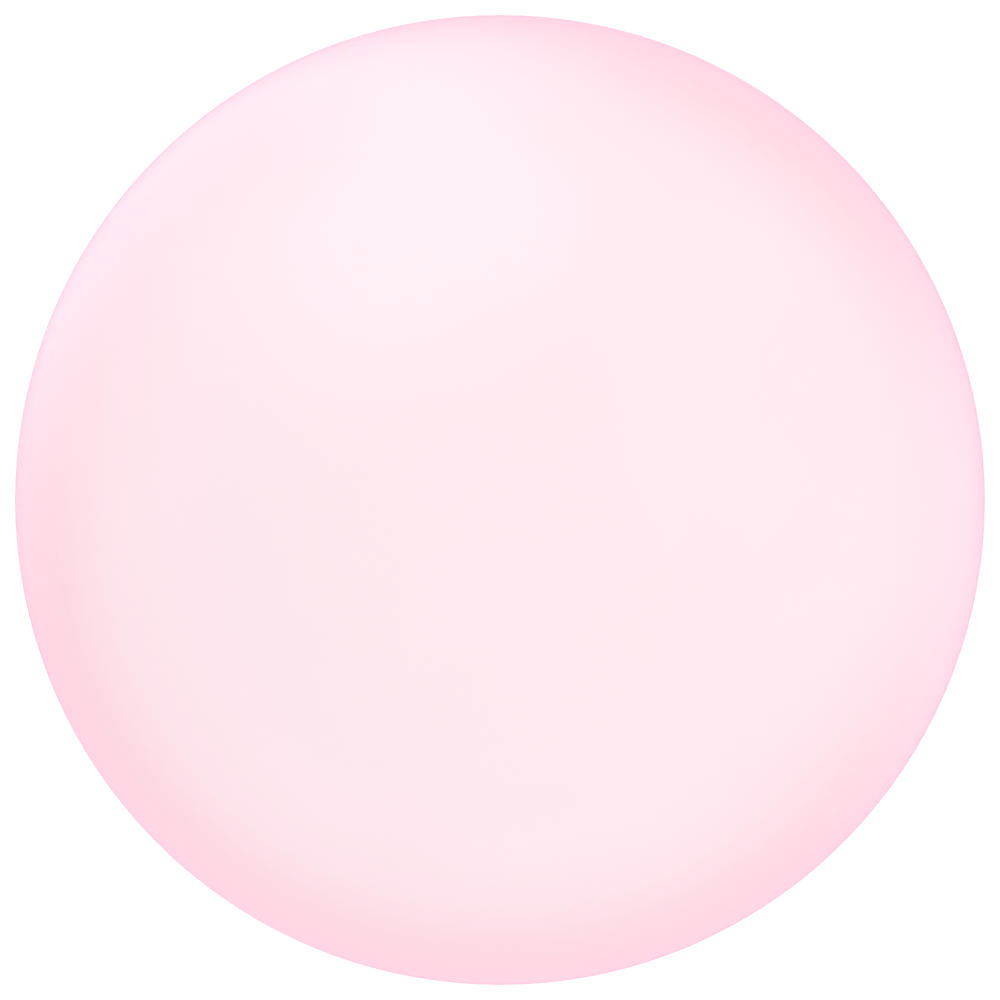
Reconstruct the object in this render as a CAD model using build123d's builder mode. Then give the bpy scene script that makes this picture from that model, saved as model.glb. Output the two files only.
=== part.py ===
from build123d import *

import os
from math import cos, radians, sin, sqrt

# A tied, round latex balloon. Millimetres, +Z up, crown at the top.
# The origin is on the balloon's axis, in the middle of the gathered neck where a ribbon is tied.

# Bulb
BULB_R = 140.0          # half of the widest diameter
SPHERE_END_DEG = 130.0  # the bulb is a true sphere from the crown down to this polar angle
SHOULDER_R = 196.0      # flatter arc that carries the sphere on towards the neck
NECK_FILLET_R = 12.0    # hollow curve in which the film turns down into the neck
FILM_T = 0.5            # stand-in for a film that is far thinner once blown up

# Gathered neck, between the bulb and the knot
NECK_R = 2.5
TIE_LENGTH = 6.0

# Knot: one turn of the neck wrapped round, and the strand tucked through it
SOCKET_CLEARANCE = 0.3  # between pieces that bend against each other
KNOT_TURN_R = 3.4       # centreline of the turn
KNOT_TURN_HALF_W = 2.2  # half of the turn's width, outwards
KNOT_TURN_HALF_H = 3.2  # half of the turn's height
KNOT_TURN_DROP = 4.2    # from the top of the knot joint down to the middle of the turn
KNOT_TUCK_R = 2.2
KNOT_TUCK_DROP = 7.2    # from the knot joint down to the end of the tucked strand

# Tail: the neck's open end, which flares below the knot
TAIL_ROOT_R = 2.0
TAIL_WALL = 0.5
TAIL_MOUTH_R = 6.9      # outside of the sleeve at the mouth
TAIL_THROAT_R = 4.4     # outside of the sleeve where it has opened from its folds
TAIL_LENGTH = 15.0      # from the tail joint to the middle of the bead
TAIL_CLOSED = 3.4       # length over which the folds still hold the sleeve shut
BEAD_R = 1.2            # section of the rolled bead

# Heights worked out from the sizes above
neck_top = TIE_LENGTH / 2
knot_joint_z = -TIE_LENGTH / 2
turn_z = knot_joint_z - KNOT_TURN_DROP
tuck_end_z = knot_joint_z - KNOT_TUCK_DROP
tail_joint_z = tuck_end_z - SOCKET_CLEARANCE - TAIL_ROOT_R
mouth_z = tail_joint_z - TAIL_LENGTH

# The shoulder arc is tangent to the sphere, so its centre lies on the same radius, past the sphere's centre.
shoulder_angle = radians(SPHERE_END_DEG)
shoulder_shift = SHOULDER_R - BULB_R
shoulder_centre_x = -shoulder_shift * sin(shoulder_angle)
shoulder_centre_up = -shoulder_shift * cos(shoulder_angle)
# The neck's hollow arc touches the shoulder arc from outside and ends straight down at the neck.
fillet_centre_x = NECK_R + NECK_FILLET_R
fillet_drop = sqrt((SHOULDER_R + NECK_FILLET_R) ** 2 - (fillet_centre_x - shoulder_centre_x) ** 2)
bulb_z = neck_top + fillet_drop - shoulder_centre_up


def bulb_outline(inset):
    """Half of the bulb's section, drawn this far inside its outer face, closed along the axis."""
    sphere_r = BULB_R - inset
    shoulder_r = SHOULDER_R - inset
    fillet_r = NECK_FILLET_R + inset
    sphere_end = (sphere_r * sin(shoulder_angle), bulb_z + sphere_r * cos(shoulder_angle))
    along = (fillet_centre_x - shoulder_centre_x) / (SHOULDER_R + NECK_FILLET_R)
    down = -fillet_drop / (SHOULDER_R + NECK_FILLET_R)
    shoulder_centre_z = bulb_z + shoulder_centre_up
    shoulder_end = (shoulder_centre_x + shoulder_r * along, shoulder_centre_z + shoulder_r * down)
    neck_edge = (fillet_centre_x - fillet_r, neck_top)
    RadiusArc((0, bulb_z + sphere_r), sphere_end, sphere_r)
    RadiusArc(sphere_end, shoulder_end, shoulder_r)
    RadiusArc(shoulder_end, neck_edge, -fillet_r)
    Polyline(neck_edge, (0, neck_top), (0, bulb_z + sphere_r))


# Bulb: a closed film with gas inside, open only at the foot, where the gathered neck shuts it.
with BuildPart() as bulb:
    with BuildSketch(Plane.XZ):
        with BuildLine():
            bulb_outline(0)
        make_face()
    revolve(axis=Axis.Z)
    with BuildSketch(Plane.XZ):
        with BuildLine():
            bulb_outline(FILM_T)
        make_face()
    revolve(axis=Axis.Z, mode=Mode.SUBTRACT)

# Neck: the film gathered into a short cord, with a round end on which the knot tilts.
with BuildPart() as neck:
    with BuildSketch(Plane.XY.offset(knot_joint_z)):
        Circle(NECK_R)
    extrude(amount=TIE_LENGTH)
    with Locations((0, 0, knot_joint_z)):
        Sphere(NECK_R)

# Tucked strand: runs down through the turn, hollowed at its top to clear the neck's round end.
with BuildPart() as knot_tuck:
    with BuildSketch(Plane.XY.offset(tuck_end_z)):
        Circle(KNOT_TUCK_R)
    extrude(amount=knot_joint_z - tuck_end_z)
    with Locations((0, 0, knot_joint_z)):
        Sphere(NECK_R + SOCKET_CLEARANCE, mode=Mode.SUBTRACT)

# Turn: the wrap of neck that goes round the tucked strand.
with BuildPart() as knot_turn:
    with BuildSketch(Plane.XZ):
        with Locations((KNOT_TURN_R, turn_z)):
            SlotOverall(2 * KNOT_TURN_HALF_H, 2 * KNOT_TURN_HALF_W, rotation=90)
    revolve(axis=Axis.Z)
    with Locations((0, 0, knot_joint_z)):
        Sphere(NECK_R + SOCKET_CLEARANCE, mode=Mode.SUBTRACT)
    with BuildSketch(Plane.XY.offset(tuck_end_z)):
        Circle(KNOT_TUCK_R)
    extrude(amount=knot_joint_z - tuck_end_z, mode=Mode.SUBTRACT)

# Bead: the mouth's edge, rolled up on itself into a ring.
bead_ring_r = TAIL_MOUTH_R - TAIL_WALL / 2
with BuildPart() as rolled_bead:
    with BuildSketch(Plane.XZ):
        with Locations((bead_ring_r, mouth_z)):
            Circle(BEAD_R)
    revolve(axis=Axis.Z)

# Tail sleeve: shut in folds at the knot, opening to the mouth, and let into the bead.
throat_z = (tail_joint_z + mouth_z) / 2
closed_z = tail_joint_z - TAIL_CLOSED
with BuildPart() as tail_sleeve:
    with BuildSketch(Plane.XZ):
        with BuildLine():
            Polyline(
                (0, tail_joint_z),
                (TAIL_ROOT_R, tail_joint_z),
                (TAIL_THROAT_R, throat_z),
                (TAIL_MOUTH_R, mouth_z),
                (TAIL_MOUTH_R - TAIL_WALL, mouth_z),
                (TAIL_THROAT_R - TAIL_WALL, throat_z),
                (0, closed_z),
                close=True,
            )
        make_face()
    revolve(axis=Axis.Z)
    with Locations((0, 0, tail_joint_z)):
        Sphere(TAIL_ROOT_R)
    add(rolled_bead.part, mode=Mode.SUBTRACT)

os.makedirs("parts", exist_ok=True)
pieces = {
    "bulb": bulb,
    "neck": neck,
    "knot_turn": knot_turn,
    "knot_tuck": knot_tuck,
    "tail_sleeve": tail_sleeve,
    "rolled_bead": rolled_bead,
}
for node, piece in pieces.items():
    piece.part.label = node
    export_step(piece.part, f"parts/{node}.step")
    print(node, round(piece.part.volume, 2), piece.part.bounding_box())
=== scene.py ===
import math

import bpy
import numpy as np
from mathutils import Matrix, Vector


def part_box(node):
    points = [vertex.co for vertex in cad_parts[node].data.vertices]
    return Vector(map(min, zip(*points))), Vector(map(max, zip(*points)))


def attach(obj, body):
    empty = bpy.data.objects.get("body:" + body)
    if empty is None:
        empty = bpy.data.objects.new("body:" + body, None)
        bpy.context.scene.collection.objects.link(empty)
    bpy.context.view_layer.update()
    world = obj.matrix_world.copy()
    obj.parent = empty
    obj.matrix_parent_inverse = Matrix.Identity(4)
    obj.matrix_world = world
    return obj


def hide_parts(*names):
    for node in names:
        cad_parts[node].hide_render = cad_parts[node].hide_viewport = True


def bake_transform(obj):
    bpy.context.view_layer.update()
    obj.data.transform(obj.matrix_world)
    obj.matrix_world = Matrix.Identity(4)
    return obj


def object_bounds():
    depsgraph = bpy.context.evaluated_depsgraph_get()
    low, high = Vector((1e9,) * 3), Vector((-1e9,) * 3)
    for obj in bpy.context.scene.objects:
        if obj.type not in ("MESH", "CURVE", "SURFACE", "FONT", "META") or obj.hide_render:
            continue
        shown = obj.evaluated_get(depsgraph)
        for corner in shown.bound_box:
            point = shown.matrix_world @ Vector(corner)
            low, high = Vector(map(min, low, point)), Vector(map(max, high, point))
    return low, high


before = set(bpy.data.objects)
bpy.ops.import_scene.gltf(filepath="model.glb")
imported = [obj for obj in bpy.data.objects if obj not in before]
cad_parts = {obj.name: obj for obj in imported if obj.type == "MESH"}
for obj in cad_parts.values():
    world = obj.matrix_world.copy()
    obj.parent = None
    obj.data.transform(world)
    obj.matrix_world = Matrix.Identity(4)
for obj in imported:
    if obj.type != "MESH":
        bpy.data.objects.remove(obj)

cad_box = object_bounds()

# ---------------------------------------------------------------------------------------------
# Sizes and places, in metres, read from the frame
# ---------------------------------------------------------------------------------------------
bulb_low, bulb_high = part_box("bulb")
neck_low, neck_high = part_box("neck")
turn_low, turn_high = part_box("knot_turn")
bead_low, bead_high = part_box("rolled_bead")

BULB_R = (bulb_high.x - bulb_low.x) / 2
BULB_Z = bulb_high.z - BULB_R        # centre of the round part
NECK_TOP = bulb_low.z
NECK_R = (neck_high.x - neck_low.x) / 2
KNOT_Z = (turn_low.z + turn_high.z) / 2
BEAD_R = (bead_high.z - bead_low.z) / 2
BEAD_RING_R = bead_high.x - BEAD_R
MOUTH_Z = (bead_high.z + bead_low.z) / 2

SPHERE_END = math.radians(130)       # polar angle where the round part gives way to the shoulder
SHOULDER_R = 1.4 * BULB_R
NECK_FILLET_R = 0.012
FILM_T = 0.0004                      # wall of the blown-up film
SLEEVE_T = 0.0003                    # wall of the unstretched tail
CORD_D = 0.0031                      # thickness of the neck where the knot draws it tight

AROUND = 144                         # points round every tube
angles = np.linspace(0, 2 * math.pi, AROUND, endpoint=False)


def lerp(a, b, t):
    return a + (b - a) * t


def smooth(edge0, edge1, x):
    t = np.clip((x - edge0) / (edge1 - edge0), 0, 1)
    return t * t * (3 - 2 * t)


# ---------------------------------------------------------------------------------------------
# Mesh helpers
# ---------------------------------------------------------------------------------------------
def grid_mesh(name, rings, close_start=False, close_end=False, loop=False, creased=()):
    """A tube from an array of rings (ring, point, xyz), each ring closed, with optional end caps.
    With loop, the last ring joins the first. The rings listed in creased keep a sharp edge.
    Faces look outwards where the rings go down and their points run anticlockwise from above."""
    count, around, _ = rings.shape
    verts = [tuple(p) for p in rings.reshape(-1, 3)]
    faces = []
    for i in range(count if loop else count - 1):
        n = (i + 1) % count
        for j in range(around):
            k = (j + 1) % around
            faces.append((i * around + j, n * around + j, n * around + k, i * around + k))
    if close_start:
        verts.append(tuple(rings[0].mean(axis=0)))
        hub = len(verts) - 1
        faces += [(hub, j, (j + 1) % around) for j in range(around)]
    if close_end:
        verts.append(tuple(rings[-1].mean(axis=0)))
        hub = len(verts) - 1
        base = (count - 1) * around
        faces += [(hub, base + (j + 1) % around, base + j) for j in range(around)]
    mesh = bpy.data.meshes.new(name)
    mesh.from_pydata(verts, [], faces)
    mesh.validate()
    for polygon in mesh.polygons:
        polygon.use_smooth = True
    ring_of = np.arange(len(verts)) // around
    for edge in mesh.edges:
        a, b = edge.vertices
        edge.use_edge_sharp = bool(ring_of[a] == ring_of[b] and ring_of[a] in creased)
    piece = bpy.data.objects.new(name, mesh)
    bpy.context.scene.collection.objects.link(piece)
    return piece


def capped(name, rings):
    """A solid length of the cord, cut square at both ends."""
    return grid_mesh(name, rings, close_start=True, close_end=True, creased=(0, len(rings) - 1))


def level_rings(centres, radius, height):
    """Rings in level planes: centres is (ring, xy), radius and height are (ring, point)."""
    x = centres[:, None, 0] + radius * np.cos(angles)
    y = centres[:, None, 1] + radius * np.sin(angles)
    return np.stack([x, y, height], 2)


def pleats(turn):
    """Uneven folds round the gathered film, between -1 and 1, at these angles."""
    wave = 0.55 * np.cos(9 * turn + 0.6 * np.sin(2 * turn))
    wave += 0.30 * np.cos(14 * turn + 1.3 + 0.8 * np.sin(3 * turn + 1))
    wave += 0.15 * np.cos(23 * turn + 2.1)
    return wave


# ---------------------------------------------------------------------------------------------
# Bulb: a film of one thickness, round above, drawn down to the gathered neck
# ---------------------------------------------------------------------------------------------
CROWN_CAP = 0.004                    # polar angle of the first ring, which a cap closes


def bulb_profile(inset):
    """Radius and height from the crown down to the neck: sphere, flatter shoulder, hollow fillet."""
    shift = SHOULDER_R - BULB_R
    shoulder_x = -shift * math.sin(SPHERE_END)
    shoulder_z = BULB_Z - shift * math.cos(SPHERE_END)
    fillet_x = NECK_R + NECK_FILLET_R
    reach = SHOULDER_R + NECK_FILLET_R
    fillet_z = shoulder_z - math.sqrt(reach**2 - (fillet_x - shoulder_x) ** 2)
    shoulder_end = math.acos((fillet_z - shoulder_z) / reach)
    ball = np.linspace(CROWN_CAP, SPHERE_END, 100)
    shoulder = np.linspace(SPHERE_END, shoulder_end, 40)[1:]
    fillet = np.linspace(shoulder_end, math.radians(90), 36)[1:]
    ball_r, shoulder_r, fillet_r = BULB_R - inset, SHOULDER_R - inset, NECK_FILLET_R + inset
    radius = [ball_r * np.sin(ball), shoulder_x + shoulder_r * np.sin(shoulder)]
    height = [BULB_Z + ball_r * np.cos(ball), shoulder_z + shoulder_r * np.cos(shoulder)]
    radius.append(fillet_x - fillet_r * np.sin(fillet))
    height.append(fillet_z - fillet_r * np.cos(fillet))
    return np.concatenate(radius), np.concatenate(height)


NECK_FOLD = 0.16                     # depth of the folds, as a share of the neck's radius
FAINT_FOLD = 0.02                    # depth of the fainter folds that reach further out
FOLD_REACH = 0.008                   # distance from the neck over which the folds fade
FAINT_REACH = 0.03


def bulb_rings(inset):
    """Rings of the bulb, drawn this far inside its outer face, folded near the neck."""
    radius, height = bulb_profile(inset)
    away = np.clip(radius - NECK_R, 0, None)
    depth = NECK_FOLD * np.exp(-away / FOLD_REACH) + FAINT_FOLD * np.exp(-away / FAINT_REACH)
    depth = depth * (height < BULB_Z)
    spread = radius[:, None] * (1 + depth[:, None] * pleats(angles)[None, :])
    return level_rings(np.zeros((len(radius), 2)), spread, np.repeat(height[:, None], AROUND, 1))


def build_bulb():
    """The hollow bulb, whose outer and inner faces meet at the neck."""
    outer, inner = bulb_rings(0.0), bulb_rings(FILM_T)
    rings = np.vstack([outer, inner[::-1]])
    rims = (len(outer) - 1, len(outer))
    return grid_mesh("balloon_bulb", rings, close_start=True, close_end=True, creased=rims)


# ---------------------------------------------------------------------------------------------
# Knot: the gathered neck tied in an overhand knot, found by pulling a loose one tight
# ---------------------------------------------------------------------------------------------
SPACING = 0.36                       # between the knot's points, in cord thicknesses
PULL = 0.05                          # how far each step draws the ends apart
PULL_STEPS = 420
SETTLE_STEPS = 14                    # rounds that mend the cord's length and gaps after each pull
STRETCH = 1.04                       # the ends wait while the cord is drawn longer than this
NEAR = 1.75                          # parts closer than this along the cord don't push each other


def loose_knot():
    """An open overhand knot, evenly spaced points along its middle line, with its ends up and down.
    Lengths are in cord thicknesses."""
    ring_r, tube_r, lead = 1.55, 0.78, 4.0
    turn = np.linspace(0, 2 * math.pi, 400)
    reach = ring_r + tube_r * np.cos(3 * turn)
    loop = np.stack([reach * np.cos(2 * turn), reach * np.sin(2 * turn), tube_r * np.sin(3 * turn)], 1)
    # the loop's direction where it starts and ends, in which both ends lead off
    along = np.array([0, 2 * (ring_r + tube_r), 3 * tube_r])
    along /= np.linalg.norm(along)
    steps = np.linspace(0.05, lead, 60)[:, None]
    path = np.vstack([loop[0] - along * steps[::-1], loop, loop[-1] + along * steps])
    travelled = np.r_[0, np.cumsum(np.linalg.norm(np.diff(path, axis=0), axis=1))]
    stops = np.arange(0, travelled[-1], SPACING)
    points = np.stack([np.interp(stops, travelled, path[:, k]) for k in range(3)], 1)
    z_axis = -along
    x_axis = np.array([1.0, 0, 0])
    x_axis -= z_axis * (x_axis @ z_axis)
    x_axis /= np.linalg.norm(x_axis)
    return points @ np.stack([x_axis, np.cross(z_axis, x_axis), z_axis], 1)


def tight_knot():
    """Pulls the ends apart until the cord is taut, keeping its length and holding it clear of itself."""
    points = loose_knot()
    count = len(points)
    first, second = np.triu_indices(count, k=int(round(NEAR / SPACING)))
    for step in range(PULL_STEPS):
        ends = [points[0].copy(), points[-1].copy()]
        if np.linalg.norm(np.diff(points, axis=0), axis=1).mean() < STRETCH * SPACING:
            ends[0][2] += PULL
            ends[1][2] -= PULL
        # the knot drifts back to the axis, and so do the two ends
        points[:, :2] -= 0.3 * points[count // 4 : -(count // 4), :2].mean(0)
        for end in ends:
            end[:2] *= 0.8
        for settle in range(SETTLE_STEPS):
            points[0], points[-1] = ends
            for odd in (0, 1):
                pairs = (count - odd) // 2
                a = points[odd : odd + 2 * pairs : 2]
                b = points[odd + 1 : odd + 1 + 2 * pairs : 2]
                gap = b - a
                length = np.linalg.norm(gap, axis=1, keepdims=True)
                fix = 0.5 * (length - SPACING) / length * gap
                a += fix
                b -= fix
            # the cord is a little stiff, and its turns push each other off
            points[1:-1] += 0.05 * ((points[:-2] + points[2:]) / 2 - points[1:-1])
            apart = points[second] - points[first]
            length = np.linalg.norm(apart, axis=1)
            close = np.nonzero(length < 1)[0]
            if len(close):
                push = (0.3 * (1 - length[close]) / length[close])[:, None] * apart[close]
                np.add.at(points, first[close], -push)
                np.add.at(points, second[close], push)
    points[:, 2] -= (points[0, 2] + points[-1, 2]) / 2
    return points


def subdivide(points):
    """Doubles the points of a line, each new one on the smooth curve through its neighbours."""
    middle = (9 * (points[1:-2] + points[2:-1]) - points[:-3] - points[3:]) / 16
    out = np.empty((2 * len(middle) + 1, 3))
    out[0::2] = points[1:-1]
    out[1::2] = middle
    return out


KNOT_HALF = 1.35                     # half the knot's height, in cord thicknesses
LEAD_STRAIGHT = 3.2                  # where the cord is back on the balloon's axis


def cord_line():
    """The cord's middle line in metres, from above the knot to below it, and the knot's first and
    last place on it."""
    line = subdivide(subdivide(tight_knot()))
    line[:, :2] *= 1 - smooth(KNOT_HALF, LEAD_STRAIGHT, np.abs(line[:, 2:]))
    first = int(np.argmax(line[:, 2] < KNOT_HALF))
    last = len(line) - 1 - int(np.argmax(line[::-1, 2] > -KNOT_HALF))
    return line * CORD_D + np.array((0, 0, KNOT_Z)), first, last


CORD_EASE = 0.16                     # share of the knot's length over which the cord swells
CORD_SWELL = 0.68                    # radius inside the knot, in cord thicknesses
CORD_TWIST = 1.2                     # how far the pleats turn along the knot, in radians
CORD_FOLD = 0.075                    # depth of the pleats, as a share of the cord's radius
CORD_CLEAR = 0.985                   # share of the way to a neighbouring turn that the cord fills
OWN_LENGTH = 1.5                     # parts closer than this along the cord don't flatten each other
IN_REACH = 2.2                       # turns further off than this don't touch, in cord thicknesses


def cord_rings(line, first, last):
    """Rings square to the line that swell inside the knot, and lie flat against its turns."""
    along = np.gradient(line, axis=0)
    along /= np.linalg.norm(along, axis=1, keepdims=True)
    side = np.array([1.0, 0, 0])
    rings = []
    skip = int(round(OWN_LENGTH * CORD_D / np.linalg.norm(line[1] - line[0])))
    for i in range(first, last + 1):
        side = side - along[i] * (side @ along[i])
        side /= np.linalg.norm(side)
        other = np.cross(along[i], side)
        done = (i - first) / (last - first)
        left = (last - i) / (last - first)
        middle = smooth(0, CORD_EASE, done) * smooth(0, CORD_EASE, left)
        twist = angles + CORD_TWIST * (i - first) / (last - first)
        swell = CORD_D * lerp(0.5, CORD_SWELL, middle)
        radius = swell * (1 + CORD_FOLD * pleats(twist))
        arms = radius[:, None] * (np.cos(angles)[:, None] * side - np.sin(angles)[:, None] * other)
        rest = np.abs(np.arange(len(line)) - i) > skip
        gaps = (line - line[i])[rest]
        gaps = gaps[np.linalg.norm(gaps, axis=1) < IN_REACH * CORD_D]
        if len(gaps):
            facing = np.maximum(arms @ gaps.T, 1e-12)
            reach = (gaps * gaps).sum(1)[None, :] / (2 * facing)
            arms *= np.minimum(1, CORD_CLEAR * reach.min(axis=1))[:, None]
        rings.append(line[i] + arms)
    return np.array(rings)


# ---------------------------------------------------------------------------------------------
# Neck and tail: the same film above and below the knot
# ---------------------------------------------------------------------------------------------
def centres_at(line, heights):
    """The cord's xy at these heights, on the straight stretch that the line has there."""
    order = np.argsort(line[:, 2])
    x = np.interp(heights, line[order, 2], line[order, 0])
    y = np.interp(heights, line[order, 2], line[order, 1])
    return np.stack([x, y], 1)


def to_ring(rings, target, start):
    """Eases the rings' shape into the target ring, which becomes the last one."""
    shifts = [np.roll(target, k, axis=0) for k in range(AROUND)]
    target = min(shifts, key=lambda shifted: np.abs(shifted - rings[-1]).sum())
    share = smooth(start, 1, np.linspace(0, 1, len(rings)))[:, None, None]
    moved = target[None] - target.mean(0) + rings.mean(1, keepdims=True)
    eased = lerp(rings, moved, share)
    eased[-1] = target
    return eased


ROOT_FOLD = 0.10                     # depth of the folds where the cord meets the knot


def build_neck(line, first, target):
    """The gathered neck, from the bulb's last ring down to the knot's first, the target."""
    top = bulb_profile(0.0)[1][-1]
    height = np.linspace(top, line[first, 2], 48)
    t = (top - height) / (top - line[first, 2])
    radius = lerp(NECK_R, CORD_D / 2, smooth(0, 1, t))
    fold = lerp(NECK_FOLD + FAINT_FOLD, ROOT_FOLD, t)
    spread = radius[:, None] * (1 + fold[:, None] * pleats(angles)[None, :])
    centres = centres_at(line[: first + 1], height)
    rings = level_rings(centres, spread, np.repeat(height[:, None], AROUND, 1))
    rings = to_ring(rings, target, 0.5)
    return capped("balloon_neck", rings)


def mouth_line():
    """The rolled mouth's middle line: a little oval, with a slow rise and fall."""
    radius = BEAD_RING_R * (1 + 0.05 * np.cos(2 * angles + 0.7) + 0.018 * np.cos(3 * angles + 2.0))
    height = MOUTH_Z + 0.0004 * np.cos(2 * angles - 0.5) + 0.0003 * np.cos(5 * angles + 1.1)
    return radius, height


FLARE = 0.45                         # how much the sleeve widens sooner than a straight cone
MOUTH_FOLD = 0.02                    # depth of the folds left at the mouth
SLEEVE_FOLD = 0.16                   # how much deeper the folds are half-way down the sleeve


def sleeve_rings(line, last, inset, top, count):
    """Rings of the tail from this top down to the mouth, where it has flared and unfolded."""
    mouth_r, mouth_z = mouth_line()
    root_z = line[last, 2]
    t = np.linspace((root_z - top) / (root_z - MOUTH_Z), 1, count)[:, None]
    flare = (1 - np.exp(-FLARE * t)) / (1 - math.exp(-FLARE)) * smooth(-0.12, 0.28, t)
    fold = lerp(ROOT_FOLD, MOUTH_FOLD, t)
    fold = fold + SLEEVE_FOLD * smooth(0, 0.3, t) * (1 - smooth(0.35, 0.95, t))
    radius = lerp(CORD_D / 2, mouth_r[None, :], flare)
    radius = radius * (1 + fold * pleats(angles)[None, :]) - inset
    height = lerp(root_z, mouth_z[None, :], t)
    centres = centres_at(line[last:], height.mean(1))
    return level_rings(centres, radius, height)


SLEEVE_CLOSED = 0.0038               # length of the tail's root that is squeezed shut


def build_sleeve(line, last, target):
    """The tail's wall: an outer face from the knot's last ring, the target, and an inner face."""
    root_z = line[last, 2]
    outer = sleeve_rings(line, last, SLEEVE_T / 2, root_z, 84)
    outer = to_ring(outer[::-1], target, 0.8)[::-1]
    inner = sleeve_rings(line, last, SLEEVE_T * 1.5, root_z - SLEEVE_CLOSED, 64)
    rings = np.vstack([outer, inner[::-1]])
    return grid_mesh("tail_sleeve_film", rings, close_start=True, close_end=True, creased=(0,))


ROLL_END = math.radians(55)          # where the roll's last turn ends, round its section


def build_bead():
    """The rolled lip: a round cord of film, with the line where the roll's last turn ends."""
    mouth_r, mouth_z = mouth_line()
    section = np.linspace(0, 2 * math.pi, 40, endpoint=False)
    turned = np.angle(np.exp(1j * (section - ROLL_END)))
    groove = 1 - 0.16 * np.exp(-((turned / 0.20) ** 2)) + 0.05 * np.exp(-(((turned - 0.5) / 0.3) ** 2))
    thick = BEAD_R * (0.96 + 0.04 * np.cos(4 * angles + 1) + 0.025 * np.cos(9 * angles))
    out = mouth_r[:, None] + thick[:, None] * groove[None, :] * np.cos(section)[None, :]
    up = mouth_z[:, None] + thick[:, None] * groove[None, :] * np.sin(section)[None, :]
    rings = np.stack([out * np.cos(angles)[:, None], out * np.sin(angles)[:, None], up], 2)
    return grid_mesh("rolled_lip", rings, loop=True)


# ---------------------------------------------------------------------------------------------
# Pieces
# ---------------------------------------------------------------------------------------------
KNOT_TURN_SHARE = 0.70               # share of the knotted cord that is the wrapped turn

line, knot_first, knot_last = cord_line()
knot = cord_rings(line, knot_first, knot_last)
split = int(KNOT_TURN_SHARE * len(knot))

bulb = build_bulb()
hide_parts("bulb")
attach(bulb, "balloon")

neck = build_neck(line, knot_first, knot[0])
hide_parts("neck")

knot_turn = capped("knot_turn_film", knot[: split + 1])
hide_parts("knot_turn")
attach(knot_turn, "knot")

knot_tuck = capped("knot_tuck_film", knot[split:])
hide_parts("knot_tuck")
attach(knot_tuck, "knot")

sleeve = build_sleeve(line, knot_last, knot[-1])
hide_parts("tail_sleeve")

bead = build_bead()
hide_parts("rolled_bead")
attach(bead, "tail")


# ---------------------------------------------------------------------------------------------
# Materials
# ---------------------------------------------------------------------------------------------
FILM_PINK = (0.88, 0.72, 0.77, 1)
FILM_PINK_DEEPER = (0.87, 0.70, 0.75, 1)
NECK_PINK = (0.89, 0.43, 0.54, 1)
NECK_PINK_DEEPER = (0.87, 0.40, 0.51, 1)
FILM_SHEEN = (1, 0.05, 0.3, 1)
NECK_SHEEN = (1, 0.3, 0.5, 1)
DEEPER_FROM = 0.040                  # height at which the film starts to turn deeper
DEEPER_TO = NECK_TOP - 0.006


def node(tree, kind, **settings):
    """A new node of this kind, with these settings."""
    made = tree.nodes.new(kind)
    for key, value in settings.items():
        setattr(made, key, value)
    return made


def noise(tree, coordinates, scale, detail):
    made = tree.nodes.new("ShaderNodeTexNoise")
    made.inputs["Scale"].default_value = scale
    made.inputs["Detail"].default_value = detail
    tree.links.new(coordinates, made.inputs["Vector"])
    return made.outputs["Fac"]


def ranged(tree, value, low, high, to_low, to_high):
    """The value, eased from one range into the other."""
    made = node(tree, "ShaderNodeMapRange", interpolation_type="SMOOTHSTEP")
    for name, number in (("From Min", low), ("From Max", high), ("To Min", to_low), ("To Max", to_high)):
        made.inputs[name].default_value = number
    tree.links.new(value, made.inputs["Value"])
    return made.outputs["Result"]


def mixed(tree, share, a, b):
    """A colour that goes from a to b as the share goes from 0 to 1."""
    made = node(tree, "ShaderNodeMix", data_type="RGBA")
    tree.links.new(share, made.inputs["Factor"])
    for socket, colour in ((made.inputs[6], a), (made.inputs[7], b)):
        if isinstance(colour, tuple):
            socket.default_value = colour
        else:
            tree.links.new(colour, socket)
    return made.outputs[2]


def latex_start(name):
    """A new material, with its node tree, its shader and the object's own coordinates."""
    material = bpy.data.materials.new(name)
    material.use_nodes = True
    tree = material.node_tree
    places = tree.nodes.new("ShaderNodeTexCoord").outputs["Object"]
    return material, tree, tree.nodes["Principled BSDF"], places


def bump(tree, shader, height, strength, distance):
    made = tree.nodes.new("ShaderNodeBump")
    made.inputs["Strength"].default_value = strength
    made.inputs["Distance"].default_value = distance
    tree.links.new(height, made.inputs["Height"])
    tree.links.new(made.outputs["Normal"], shader.inputs["Normal"])


def gathered_pink(tree, places):
    """The streaky, deeper pink of unstretched latex."""
    streaks = ranged(tree, noise(tree, places, 160.0, 2.0), 0.3, 0.7, 0, 1)
    return mixed(tree, streaks, NECK_PINK, NECK_PINK_DEEPER)


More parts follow.
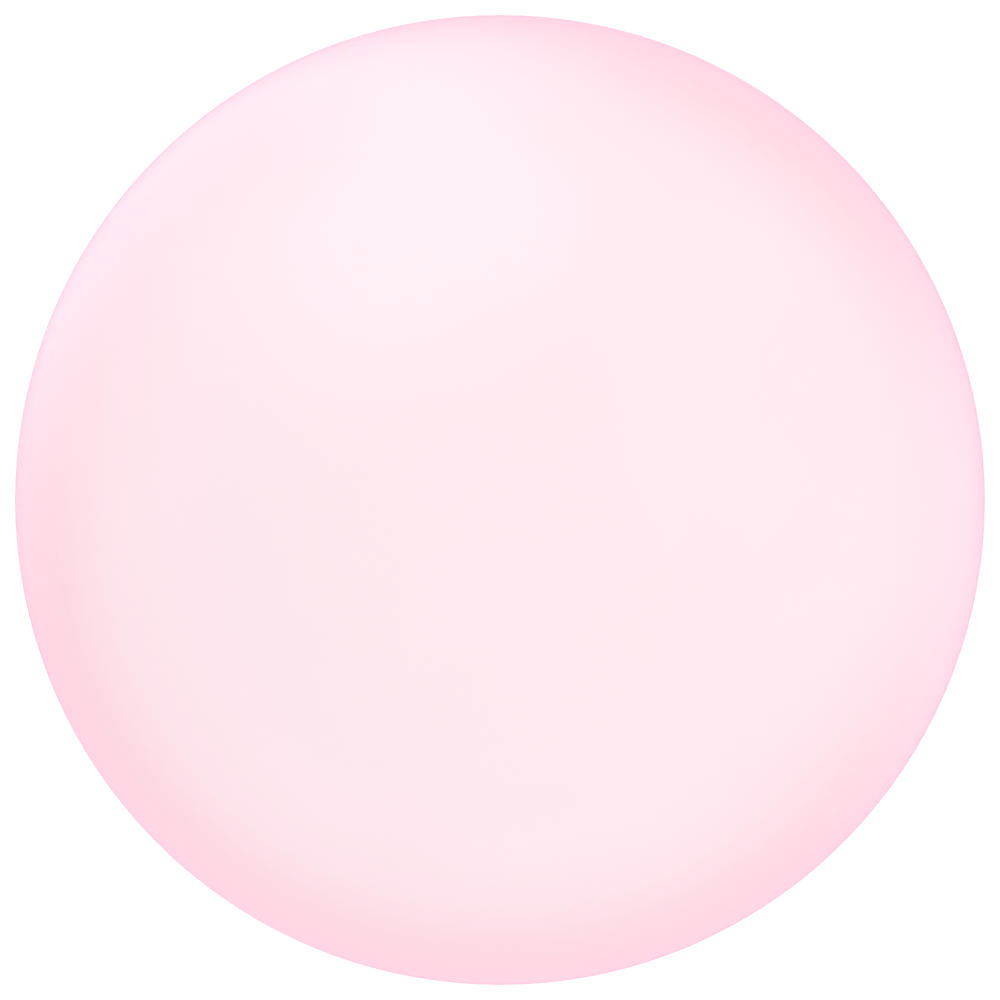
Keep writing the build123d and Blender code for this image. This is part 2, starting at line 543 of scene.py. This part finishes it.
def film_material():
    """Thin stretched latex: pale and glossy, deeper where it is less stretched towards the neck."""
    material, tree, shader, places = latex_start("pink_film")
    clouds = ranged(tree, noise(tree, places, 7.0, 3.0), 0.35, 0.65, 0, 1)
    film = mixed(tree, clouds, FILM_PINK, FILM_PINK_DEEPER)
    split_places = tree.nodes.new("ShaderNodeSeparateXYZ")
    tree.links.new(places, split_places.inputs[0])
    near_neck = ranged(tree, split_places.outputs["Z"], DEEPER_FROM, DEEPER_TO, 0, 1)
    colour = mixed(tree, near_neck, film, gathered_pink(tree, places))
    tree.links.new(colour, shader.inputs["Base Color"])
    roughness = ranged(tree, noise(tree, places, 22.0, 3.0), 0.3, 0.7, 0.28, 0.34)
    tree.links.new(roughness, shader.inputs["Roughness"])
    bump(tree, shader, noise(tree, places, 45.0, 2.0), 0.05, 0.001)
    shader.inputs["Coat Weight"].default_value = 1.0
    shader.inputs["Coat Roughness"].default_value = 0.06
    shader.inputs["Sheen Weight"].default_value = 0.8
    shader.inputs["Sheen Roughness"].default_value = 0.46
    shader.inputs["Sheen Tint"].default_value = FILM_SHEEN
    return material


def neck_material():
    """Thick unstretched latex: deeper pink, satin, with fine creases and a trace of powder."""
    material, tree, shader, places = latex_start("pink_neck_latex")
    powder = ranged(tree, noise(tree, places, 900.0, 4.0), 0.55, 0.85, 0, 0.35)
    colour = mixed(tree, powder, gathered_pink(tree, places), FILM_PINK)
    tree.links.new(colour, shader.inputs["Base Color"])
    roughness = ranged(tree, noise(tree, places, 500.0, 3.0), 0.3, 0.7, 0.36, 0.5)
    tree.links.new(roughness, shader.inputs["Roughness"])
    bump(tree, shader, noise(tree, places, 1400.0, 3.0), 0.25, 0.0002)
    shader.inputs["Coat Weight"].default_value = 0.35
    shader.inputs["Coat Roughness"].default_value = 0.22
    shader.inputs["Sheen Weight"].default_value = 0.3
    shader.inputs["Sheen Roughness"].default_value = 0.5
    shader.inputs["Sheen Tint"].default_value = NECK_SHEEN
    return material


bulb.data.materials.append(film_material())
neck_latex = neck_material()
for piece in (neck, knot_turn, knot_tuck, sleeve, bead):
    piece.data.materials.append(neck_latex)

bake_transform(neck)
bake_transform(sleeve)


# ---------------------------------------------------------------------------------------------
# Floor, light and camera
# ---------------------------------------------------------------------------------------------
ROOM_LIGHT = 1.06                    # just bright enough to keep the room and floor white
FLOOR_GREY = (0.95, 0.95, 0.95, 1)
FLOOR_DROP = 3.0                     # the floor lies this far below the balloon, clear of the softboxes
FLOOR_HALF = 20.0


def build_world():
    world = bpy.data.worlds.new("white_room")
    bpy.context.scene.world = world
    world.use_nodes = True
    background = world.node_tree.nodes["Background"]
    background.inputs["Color"].default_value = (1, 1, 1, 1)
    background.inputs["Strength"].default_value = ROOM_LIGHT


def build_floor():
    mesh = bpy.data.meshes.new("floor")
    half = FLOOR_HALF
    corners = [(-half, -half, 0), (half, -half, 0), (half, half, 0), (-half, half, 0)]
    mesh.from_pydata(corners, [], [(0, 1, 2, 3)])
    floor = bpy.data.objects.new("floor", mesh)
    floor.location.z = cad_box[0].z - FLOOR_DROP
    bpy.context.scene.collection.objects.link(floor)
    material = bpy.data.materials.new("pale_floor")
    material.use_nodes = True
    shader = material.node_tree.nodes["Principled BSDF"]
    shader.inputs["Base Color"].default_value = FLOOR_GREY
    mesh.materials.append(material)


CAMERA_ELEVATION = math.radians(76)
LENS = 100.0
FILL = 0.97                          # share of the frame's width that the balloon spans


def camera_axes():
    """The camera's right, its up, and the way from the balloon back to it."""
    back = Vector((0, -math.cos(CAMERA_ELEVATION), math.sin(CAMERA_ELEVATION)))
    right = Vector((1, 0, 0))
    return right, back.cross(right), back


def build_camera():
    """A camera that looks down on the crown, at the distance where the balloon fills its share."""
    data = bpy.data.cameras.new("camera")
    data.lens = LENS
    data.clip_end = 50
    camera = bpy.data.objects.new("camera", data)
    bpy.context.scene.collection.objects.link(camera)
    half = math.atan(FILL * data.sensor_width / 2 / LENS)
    _, _, back = camera_axes()
    centre = Vector((0, 0, BULB_Z))
    camera.location = centre + back * (BULB_R / math.sin(half))
    camera.rotation_mode = "QUATERNION"
    camera.rotation_quaternion = (-back).to_track_quat("-Z", "Y")
    bpy.context.scene.camera = camera


def glowing(name, strength):
    """Clear where the stored glow is 0, and adding this much light where it is 1."""
    material = bpy.data.materials.new(name)
    material.use_nodes = True
    tree = material.node_tree
    tree.nodes.clear()
    output = tree.nodes.new("ShaderNodeOutputMaterial")
    clear = tree.nodes.new("ShaderNodeBsdfTransparent")
    light = tree.nodes.new("ShaderNodeEmission")
    both = tree.nodes.new("ShaderNodeAddShader")
    stored = tree.nodes.new("ShaderNodeAttribute")
    stored.attribute_name = "glow"
    level = tree.nodes.new("ShaderNodeMath")
    level.operation = "MULTIPLY"
    level.inputs[1].default_value = strength
    tree.links.new(stored.outputs["Fac"], level.inputs[0])
    tree.links.new(level.outputs[0], light.inputs["Strength"])
    tree.links.new(clear.outputs[0], both.inputs[0])
    tree.links.new(light.outputs[0], both.inputs[1])
    tree.links.new(both.outputs[0], output.inputs["Surface"])
    return material


SOFT_EDGE = 40                       # degrees over which a softbox fades out at its edge
PANEL_RINGS = 61
PANEL_AROUND = 96


def softbox(name, around, away, radius, strength, distance):
    """A round, curved softbox that shows only as a gloss reflection, and fades towards its edge.
    Angles are in degrees: its middle lies around the camera's axis and away from it."""
    right, up, back = camera_axes()
    lean = math.radians(away)
    sideways = right * math.cos(math.radians(around)) + up * math.sin(math.radians(around))
    middle = sideways * math.sin(lean) + back * math.cos(lean)
    aim = middle.to_track_quat("Z", "Y").to_matrix()
    out = np.radians(np.linspace(0.5, radius, PANEL_RINGS))
    turn = np.radians(np.linspace(0, 360, PANEL_AROUND, endpoint=False))
    cap = np.stack(
        [
            np.sin(out)[:, None] * np.cos(turn),
            np.sin(out)[:, None] * np.sin(turn),
            np.repeat(np.cos(out)[:, None], len(turn), 1),
        ],
        2,
    )
    points = distance * (cap @ np.array(aim).T) + np.array((0, 0, BULB_Z))
    panel = grid_mesh(name, points, close_start=True)
    glow = smooth(0, math.radians(min(radius, SOFT_EDGE)), math.radians(radius) - out)
    glow = np.append(np.repeat(glow, len(turn)), glow[0])
    stored = panel.data.attributes.new("glow", "FLOAT", "POINT")
    stored.data.foreach_set("value", glow.astype(np.float32))
    panel.visible_camera = False
    panel.visible_diffuse = False
    panel.visible_shadow = False
    panel.visible_transmission = False
    panel.data.materials.append(glowing(name, strength))


# each stands a little nearer than the one before, so that none of them touch
softbox("overhead_softbox", around=0, away=0, radius=125, strength=0.50, distance=2.60)
softbox("left_softbox", around=140, away=130, radius=45, strength=0.50, distance=2.55)
softbox("right_softbox", around=0, away=125, radius=40, strength=0.35, distance=2.50)
softbox("key_softbox", around=110, away=65, radius=50, strength=0.60, distance=2.45)
softbox("key_edge_softbox", around=100, away=115, radius=35, strength=0.60, distance=2.40)
softbox("back_softbox", around=0, away=180, radius=60, strength=0.25, distance=2.35)

FILL_LAMP = 0.13                     # strength of the sun lamp, in W/m2
FILL_ANGLE = math.radians(80)


def build_fill():
    """A soft lamp from the right, which leaves the left side a shade deeper."""
    data = bpy.data.lights.new("fill", "SUN")
    data.energy = FILL_LAMP
    data.angle = FILL_ANGLE
    fill = bpy.data.objects.new("fill", data)
    bpy.context.scene.collection.objects.link(fill)
    right, up, back = camera_axes()
    towards = right + up * 0.3 + back * 0.4
    fill.rotation_mode = "QUATERNION"
    fill.rotation_quaternion = (-towards).to_track_quat("-Z", "Y")


build_fill()

build_world()
build_floor()
build_camera()
bpy.context.scene.view_settings.view_transform = "Standard"
